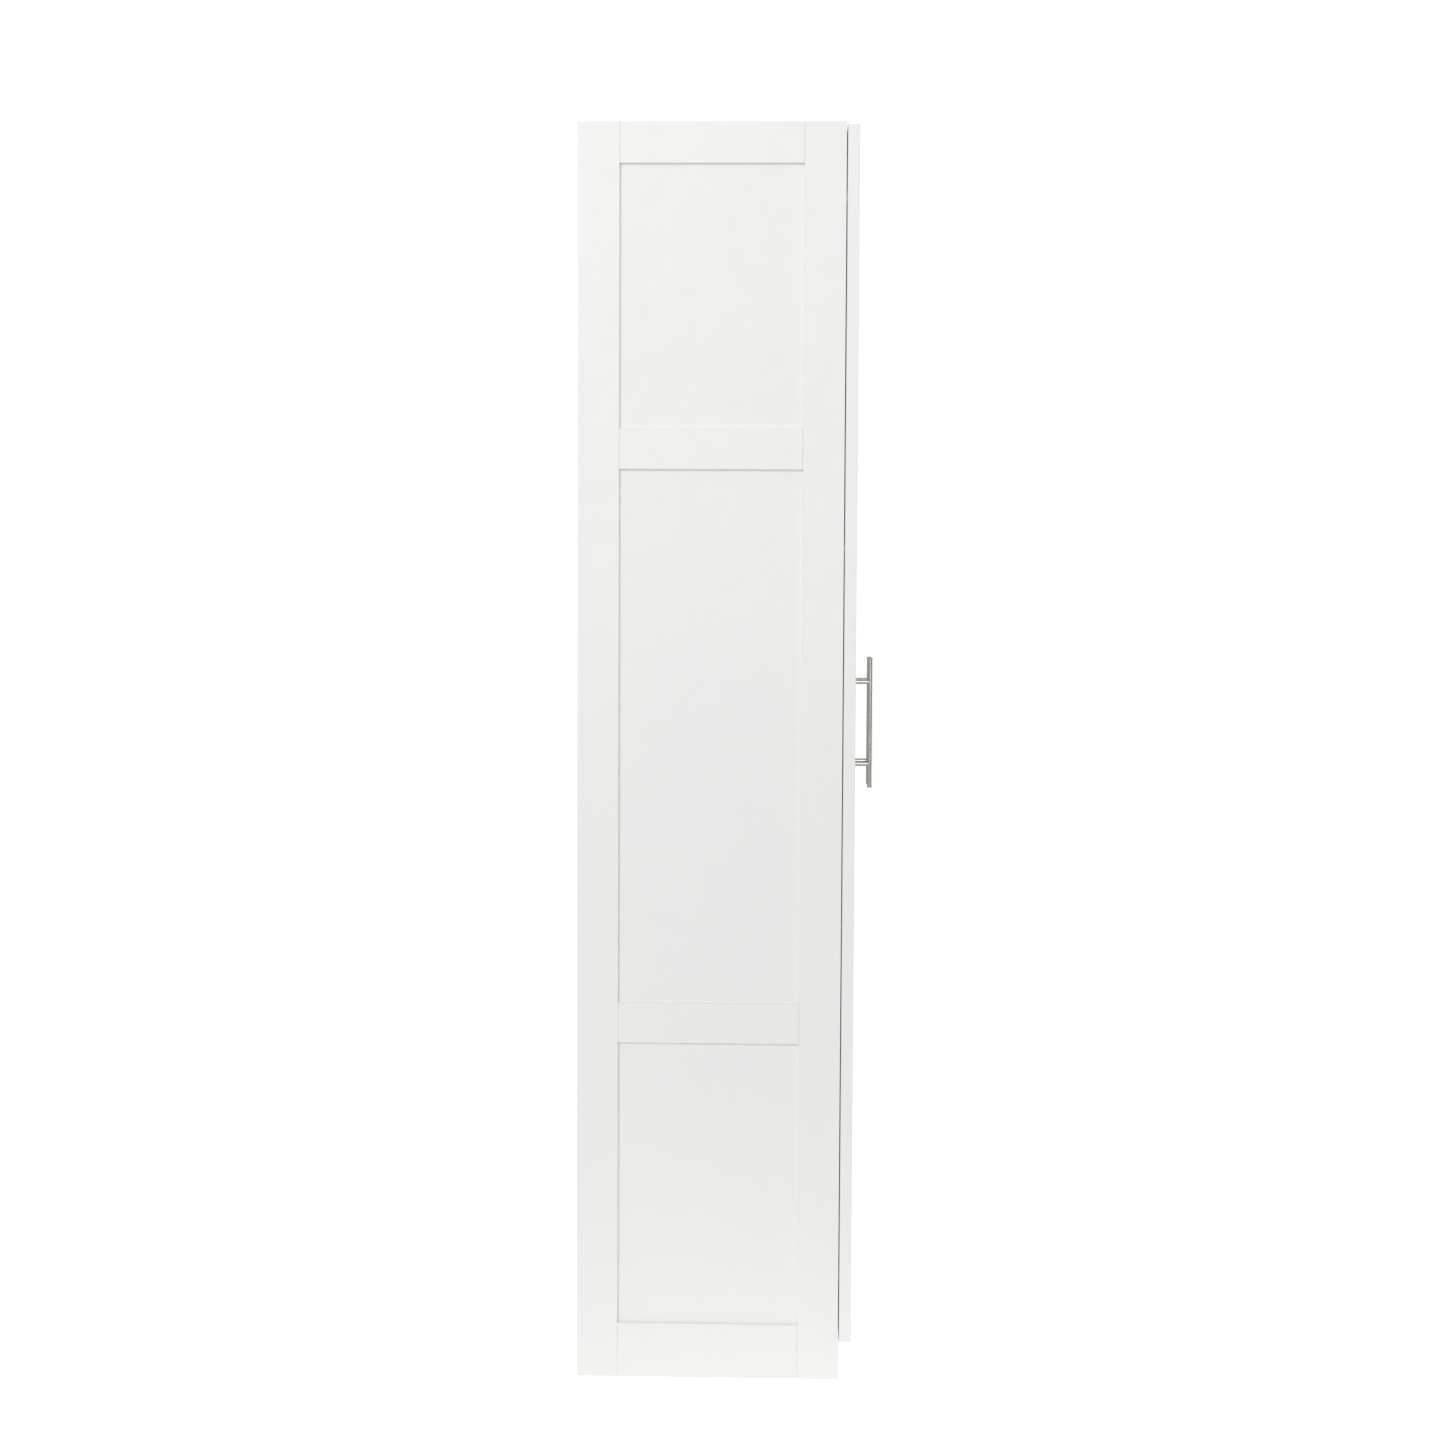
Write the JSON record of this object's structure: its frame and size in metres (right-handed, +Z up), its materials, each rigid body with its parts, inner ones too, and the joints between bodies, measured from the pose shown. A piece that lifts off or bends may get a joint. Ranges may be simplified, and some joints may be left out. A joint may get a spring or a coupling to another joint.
{
  "type": "pantry cabinet",
  "caption": "Tall free-standing white pantry cabinet with recessed-panel sides and doors, inner shelves, concealed hinges and vertical bar pulls.",
  "frame": {"origin": "centre of the bottom face of the bounding box, on the floor", "axes": "+Z up; the doors and their handles face -Y; +X is to the right of someone who faces the doors"},
  "size_m": [0.61, 0.4366, 1.829],
  "materials": {
    "frame_white": "satin white laminate on fibreboard",
    "panel_white": "satin white laminate on thin fibreboard",
    "board_white": "matt white laminate on particle board",
    "hardboard_white": "white-faced hardboard",
    "brushed_nickel": "brushed nickel",
    "hinge_steel": "nickel-plated pressed steel",
    "zinc_steel": "zinc-plated",
    "zinc_alloy": "as cast",
    "beech": "fluted beech",
    "clear_bumper": "translucent soft plastic"
  },
  "bodies": {
    "carcass": {"left_side_front_stile": "frame_white", "left_side_rear_stile": "frame_white", "left_side_top_rail": "frame_white", "left_side_mid_rails": "frame_white", "left_side_bottom_rail": "frame_white", "left_side_panels": "panel_white", "left_hinge_arms": "hinge_steel", "left_hinge_plates": "hinge_steel", "left_hinge_plate_screws": "zinc_steel", "right_side_front_stile": "frame_white", "right_side_rear_stile": "frame_white", "right_side_top_rail": "frame_white", "right_side_mid_rails": "frame_white", "right_side_bottom_rail": "frame_white", "right_side_panels": "panel_white", "right_hinge_arms": "hinge_steel", "right_hinge_plates": "hinge_steel", "right_hinge_plate_screws": "zinc_steel", "top_board": "board_white", "bottom_board": "board_white", "lower_fixed_shelf": "board_white", "upper_fixed_shelf": "board_white", "shelf_1": "board_white", "shelf_2": "board_white", "shelf_3": "board_white", "shelf_4": "board_white", "back_panel_lower": "hardboard_white", "back_panel_upper": "hardboard_white", "toe_kick": "frame_white", "wall_rail": "board_white", "shelf_pins": "hinge_steel", "cam_locks": "zinc_alloy", "cam_bolts": "zinc_steel", "dowels": "beech", "back_screws": "zinc_steel", "door_bumpers": "clear_bumper"},
    "left_door": {"left_door_hinge_stile": "frame_white", "left_door_lock_stile": "frame_white", "left_door_top_rail": "frame_white", "left_door_mid_rails": "frame_white", "left_door_bottom_rail": "frame_white", "left_door_panels": "panel_white", "left_hinge_cups": "hinge_steel", "left_hinge_pins": "hinge_steel", "left_hinge_cup_screws": "zinc_steel", "left_handle_bar": "brushed_nickel", "left_handle_posts": "brushed_nickel", "left_handle_screws": "zinc_steel"},
    "right_door": {"right_door_hinge_stile": "frame_white", "right_door_lock_stile": "frame_white", "right_door_top_rail": "frame_white", "right_door_mid_rails": "frame_white", "right_door_bottom_rail": "frame_white", "right_door_panels": "panel_white", "right_hinge_cups": "hinge_steel", "right_hinge_pins": "hinge_steel", "right_hinge_cup_screws": "zinc_steel", "right_handle_bar": "brushed_nickel", "right_handle_posts": "brushed_nickel", "right_handle_screws": "zinc_steel"}
  },
  "joints": [
    {"name": "left_door_swing", "type": "hinge", "parent": "carcass", "child": "left_door", "pos_m": [-0.2978, -0.17675, 0.952], "axis": [0, 0, -1], "range_deg": [0, 95]},
    {"name": "right_door_swing", "type": "hinge", "parent": "carcass", "child": "right_door", "pos_m": [0.2978, -0.17675, 0.952], "axis": [0, 0, 1], "range_deg": [0, 95]}
  ]
}
